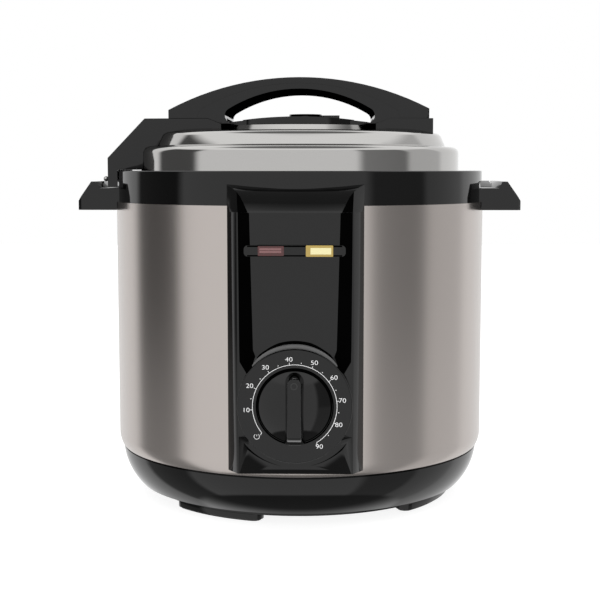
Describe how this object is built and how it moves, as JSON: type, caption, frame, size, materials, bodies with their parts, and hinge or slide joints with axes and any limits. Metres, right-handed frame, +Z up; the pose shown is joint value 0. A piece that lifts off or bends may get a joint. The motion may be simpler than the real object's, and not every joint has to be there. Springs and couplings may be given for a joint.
{
  "type": "electric pressure cooker",
  "caption": "Electric pressure cooker with a round steel sleeve, black collar and base, bayonet lid with an arched handle and hanging arm, and a front panel with a rotary timer.",
  "frame": {"origin": "on the floor under the pot's vertical axis, midway between the knob's front and the condensation cup's back", "axes": "+Z up, -Y towards the control panel, +X to the right of someone facing the panel"},
  "size_m": [0.3228, 0.344, 0.3064],
  "materials": {
    "gloss_black": "polished",
    "satin_black": "satin",
    "sleeve_steel": "rose tinted, brushed round the body",
    "lid_steel": "polished",
    "sheet_steel": "plain",
    "pot_aluminium": "satin",
    "timer_plastic": "moulded",
    "board_green": "circuit board",
    "rubber_foot": "matt",
    "silicone": "satin",
    "lens_red": "clear red",
    "lens_warm": "clear yellow",
    "cup_clear": "clear",
    "copper_wire": "insulated"
  },
  "bodies": {
    "cooker": {"base_shell": "gloss_black", "bottom_cover": "satin_black", "cover_screws": "sheet_steel", "foot_front_left": "gloss_black", "foot_front_right": "gloss_black", "foot_rear_right": "gloss_black", "foot_rear_left": "gloss_black", "foot_pads": "rubber_foot", "outer_sleeve": "sleeve_steel", "collar": "gloss_black", "side_handle_left": "satin_black", "side_handle_right": "satin_black", "side_handle_screws": "sheet_steel", "panel_housing": "gloss_black", "dial_plate": "satin_black", "lamp_bar": "gloss_black", "cooking_lamp_lens": "lens_red", "warm_lamp_lens": "lens_warm", "lamp_board": "board_green", "timer_body": "timer_plastic", "outer_pot": "pot_aluminium", "heat_shield": "sheet_steel", "heating_plate": "pot_aluminium", "heater_terminals": "silicone", "support_posts": "sheet_steel", "sensor_guide": "satin_black", "sensor_spring": "sheet_steel", "pressure_switch": "satin_black", "thermal_fuse": "sheet_steel", "terminal_block": "timer_plastic", "wiring_loom": "copper_wire", "mains_inlet": "gloss_black", "inlet_pins": "sheet_steel", "cup_holder": "gloss_black"},
    "timer_knob": {"timer_knob": "gloss_black", "timer_shaft": "sheet_steel"},
    "sensor": {"sensor_button": "pot_aluminium"},
    "inner_pot": {"inner_pot": "pot_aluminium"},
    "condensation_cup": {"condensation_cup": "cup_clear"},
    "gasket": {"lid_gasket": "silicone"},
    "lid": {"lid_shell": "lid_steel", "lid_deck": "gloss_black", "handle_base_left": "satin_black", "handle_base_right": "satin_black", "handle_grip": "satin_black", "handle_cover": "satin_black", "handle_screws": "sheet_steel", "parking_pin": "lid_steel", "lid_stud": "sheet_steel", "seal_plate": "lid_steel", "plate_nut": "sheet_steel", "exhaust_pipe": "sheet_steel", "exhaust_filter": "sheet_steel"},
    "steam_valve": {"steam_valve": "gloss_black"},
    "float_valve": {"float_pin": "sheet_steel", "float_seal": "silicone"}
  },
  "joints": [
    {"name": "lid_lift", "type": "slide", "parent": "cooker", "child": "gasket", "axis": [0, 0, 1], "range_m": [0, 0.34]},
    {"name": "lid_turn", "type": "hinge", "parent": "gasket", "child": "lid", "pos_m": [0, 0, 0.24], "axis": [0, 0, 1], "range_deg": [0, 30]},
    {"name": "pot_lift", "type": "slide", "parent": "cooker", "child": "inner_pot", "axis": [0, 0, 1], "range_m": [0, 0.17]},
    {"name": "timer_turn", "type": "hinge", "parent": "cooker", "child": "timer_knob", "pos_m": [0, -0.154, 0.0889], "axis": [0, 1, 0], "range_deg": [-128.6, 148.7]},
    {"name": "sensor_press", "type": "slide", "parent": "cooker", "child": "sensor", "axis": [0, 0, 1], "range_m": [-0.0015, 0], "stiffness_N_per_m": 400, "springref_m": 0.002, "deforming": ["sensor_spring"]},
    {"name": "cup_slide", "type": "slide", "parent": "cooker", "child": "condensation_cup", "axis": [0, 1, 0], "range_m": [0, 0.05]},
    {"name": "steam_valve_turn", "type": "hinge", "parent": "lid", "child": "steam_valve", "pos_m": [0.004, 0.024, 0.28], "axis": [0, 0, 1], "range_deg": [0, 40]},
    {"name": "float_rise", "type": "slide", "parent": "lid", "child": "float_valve", "axis": [0, 0, 1], "range_m": [0, 0.004]}
  ],
  "couplings": [
    {"joint": "pot_lift", "follows": "lid_lift", "ratio": 0.5}
  ]
}
